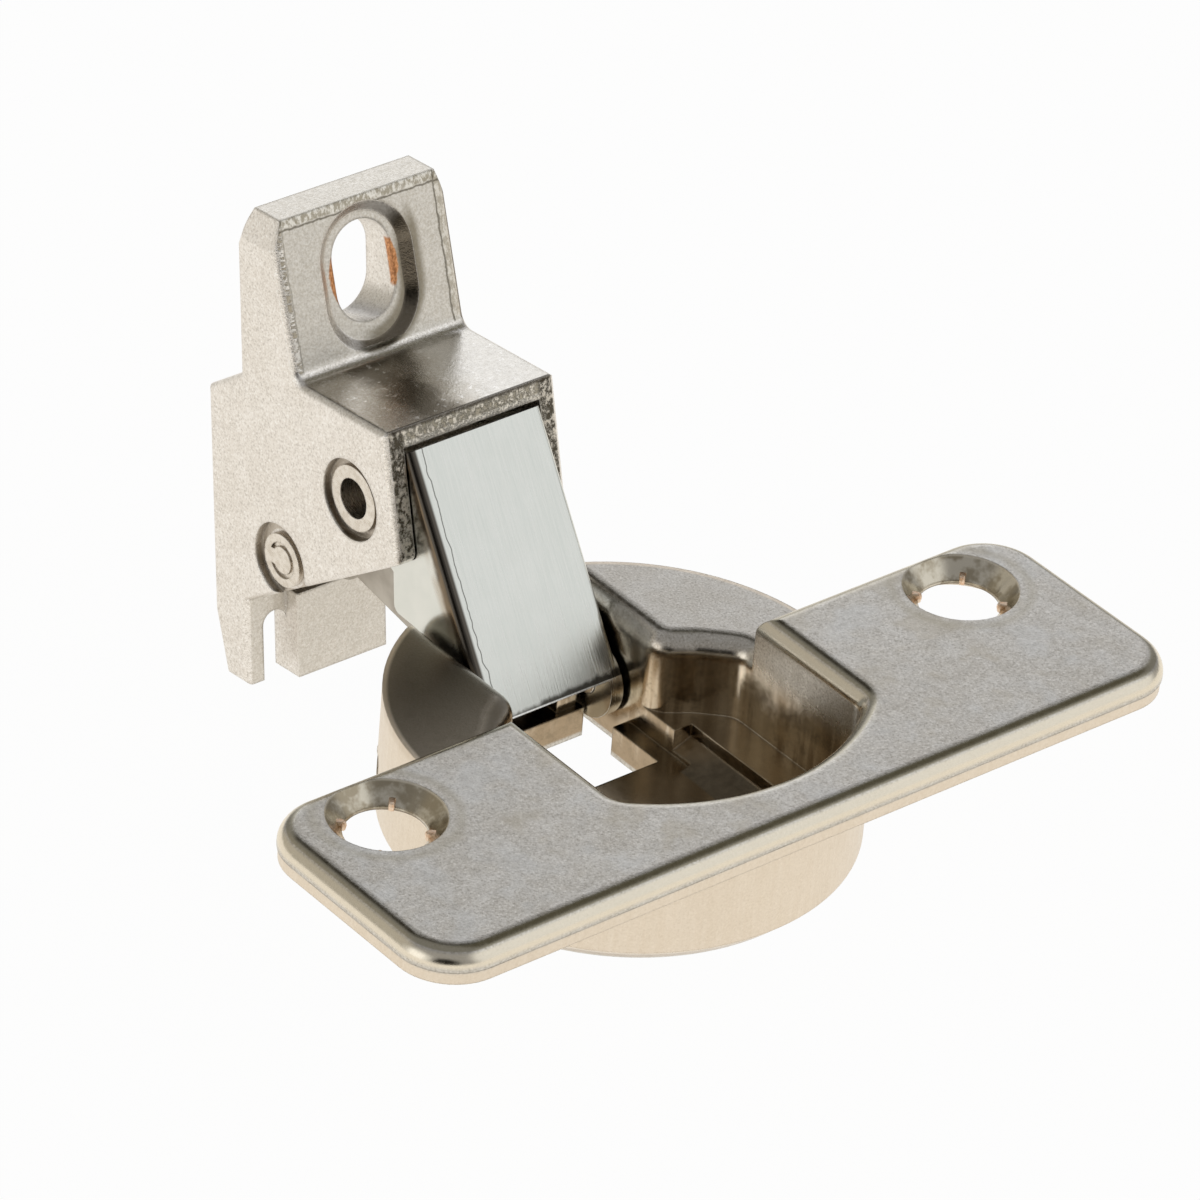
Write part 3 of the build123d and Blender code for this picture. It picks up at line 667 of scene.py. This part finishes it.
def nub(name, angle, centre, material):
    """Small peened nub on the inner rim of a screw hole, wider at the wall."""
    mesh = bmesh.new()
    layers = []
    for level, size in NUB_LAYERS:
        points = [(NUB_WALL + (r - NUB_WALL) * size, w * size, level) for r, w in NUB_OUTLINE]
        layers.append([mesh.verts.new(point) for point in points])
    for lower, upper in zip(layers, layers[1:]):
        for i in range(len(NUB_OUTLINE)):
            j = (i + 1) % len(NUB_OUTLINE)
            mesh.faces.new((lower[i], lower[j], upper[j], upper[i]))
    mesh.faces.new(layers[-1])
    mesh.faces.new(list(reversed(layers[0])))
    bmesh.ops.recalc_face_normals(mesh, faces=mesh.faces)
    turn = Matrix.Rotation(angle, 4, "Z")
    mesh.transform(Matrix.Scale(MM, 4) @ Matrix.Translation((*centre, 0.0)) @ turn)
    data = bpy.data.meshes.new(name)
    mesh.to_mesh(data)
    mesh.free()
    data.materials.append(material)
    made = bpy.data.objects.new(name, data)
    bpy.context.collection.objects.link(made)
    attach(made, "cup")


nub_copper = nub_material()
for side, side_name in ((-1, "left"), (1, "right")):
    for step in range(NUBS_PER_HOLE):
        angle = math.radians(FIRST_NUB + 360 / NUBS_PER_HOLE * step)
        nub(f"nub_{side_name}_{step + 1}", angle, (SCREW_X * side, SCREW_Y), nub_copper)


def floor_material():
    """White to the camera, pale in reflections, and a plain pale floor for the rest."""
    white, glare, plain = (1, 1, 1), (1.0, 0.955, 0.885), (0.88, 0.85, 0.79)
    white_share, glare_share, glare_strength = 0.97, 0.9, 1.08
    g = Graph("floor_white")
    ray = g.node("ShaderNodeLightPath")
    diffuse = g.node("ShaderNodeBsdfDiffuse")
    g.tint(diffuse.inputs["Color"], plain)
    bounce = g.light("ShaderNodeEmission", glare, glare_strength)
    caught = g.either(g.times(ray.outputs["Is Glossy Ray"], glare_share), diffuse.outputs[0], bounce)
    seen = g.most(ray.outputs["Is Camera Ray"], ray.outputs["Is Transmission Ray"])
    return g.surface(g.either(g.times(seen, white_share), caught, g.light("ShaderNodeEmission", white)))


# pale floor, just below the lowest point of the hinge
FLOOR_SIZE = 6.0
FLOOR_GAP = 0.0002
bpy.ops.mesh.primitive_plane_add(size=FLOOR_SIZE, location=(0, 0, cad_box[0][2] - FLOOR_GAP))
floor = bpy.context.object
floor.name = "floor"
floor.data.materials.append(floor_material())

# studio: soft panels and dark gaps round a grey room, as directions in the shared frame
ROOM = (0.36, 0.355, 0.35)
PANELS = [
    # direction, half angle in degrees, softness in degrees, radiance
    ((0.55, -0.74, 0.38), 32, 12, (0.94, 0.94, 0.93)),
    ((-0.98, 0.10, 0.18), 22, 10, (0.98, 0.97, 0.94)),
    ((0.55, 0.66, 0.50), 22, 10, (0.58, 0.58, 0.585)),
    ((0.55, 0.76, 0.34), 13, 7, (1.20, 1.20, 1.20)),
    ((-0.45, 0.72, 0.30), 26, 12, (0.52, 0.49, 0.43)),
    ((-0.70, -0.68, 0.12), 22, 7, (0.015, 0.013, 0.01)),
    ((0.52, 0.08, 0.85), 17, 6, (0.16, 0.15, 0.115)),
    ((0.32, 0.40, 0.86), 11, 5, (0.06, 0.055, 0.045)),
    ((0.13, 0.63, 0.77), 10, 5, (0.05, 0.045, 0.035)),
    ((0.60, 0.55, 0.58), 6, 5, (0.80, 0.80, 0.83)),
]


def studio():
    """World that is white to the camera and holds the panels for everything else."""
    world = bpy.data.worlds.new("studio")
    bpy.context.scene.world = world
    world.use_nodes = True
    g = Nodes(world.node_tree)
    ray = g.node("ShaderNodeTexCoord").outputs["Generated"]
    shade = ROOM
    for direction, half, soft, radiance in PANELS:
        outer = math.cos(math.radians(half + soft))
        inner = math.cos(math.radians(max(0, half - soft)))
        panel = g.ramp(g.dot(ray, Vector(direction).normalized()), outer, inner)
        shade = g.mix(panel, shade, radiance)
    seen = g.node("ShaderNodeLightPath").outputs["Is Camera Ray"]
    room = g.light("ShaderNodeBackground", shade)
    white = g.light("ShaderNodeBackground", (1, 1, 1))
    out = g.node("ShaderNodeOutputWorld")
    g.put(out.inputs[0], g.either(seen, room, white))


def softbox(name, place, aim, size, power):
    """Square lamp of size metres and power watts, turned towards aim."""
    lamp = bpy.data.lights.new(name, "AREA")
    lamp.shape = "RECTANGLE"
    lamp.size = lamp.size_y = size
    lamp.energy = power
    holder = bpy.data.objects.new(name, lamp)
    bpy.context.collection.objects.link(holder)
    holder.location = place
    holder.rotation_euler = (Vector(aim) - Vector(place)).to_track_quat("-Z", "Y").to_euler()


def photo_camera():
    """Camera at the photograph's place, from a fit to points of the hinge."""
    right, up, back = (0.7794, -0.6226, 0.0701), (0.2997, 0.4687, 0.8310), (-0.5502, -0.6267, 0.5518)
    place = (-0.30493, -0.34330, 0.31136)
    camera = bpy.data.cameras.new("camera")
    camera.sensor_width = 36.0
    camera.lens = 235.24
    camera.clip_start = 0.01
    camera.clip_end = 20.0
    eye = bpy.data.objects.new("camera", camera)
    bpy.context.collection.objects.link(eye)
    eye.matrix_world = Matrix([(right[i], up[i], back[i], place[i]) for i in range(3)] + [(0, 0, 0, 1)])
    bpy.context.scene.camera = eye


studio()
softbox("left", (-0.62, 0.06, 0.12), (0, 0.005, 0), 0.30, 0.10)
photo_camera()
bpy.context.scene.view_settings.view_transform = "Standard"
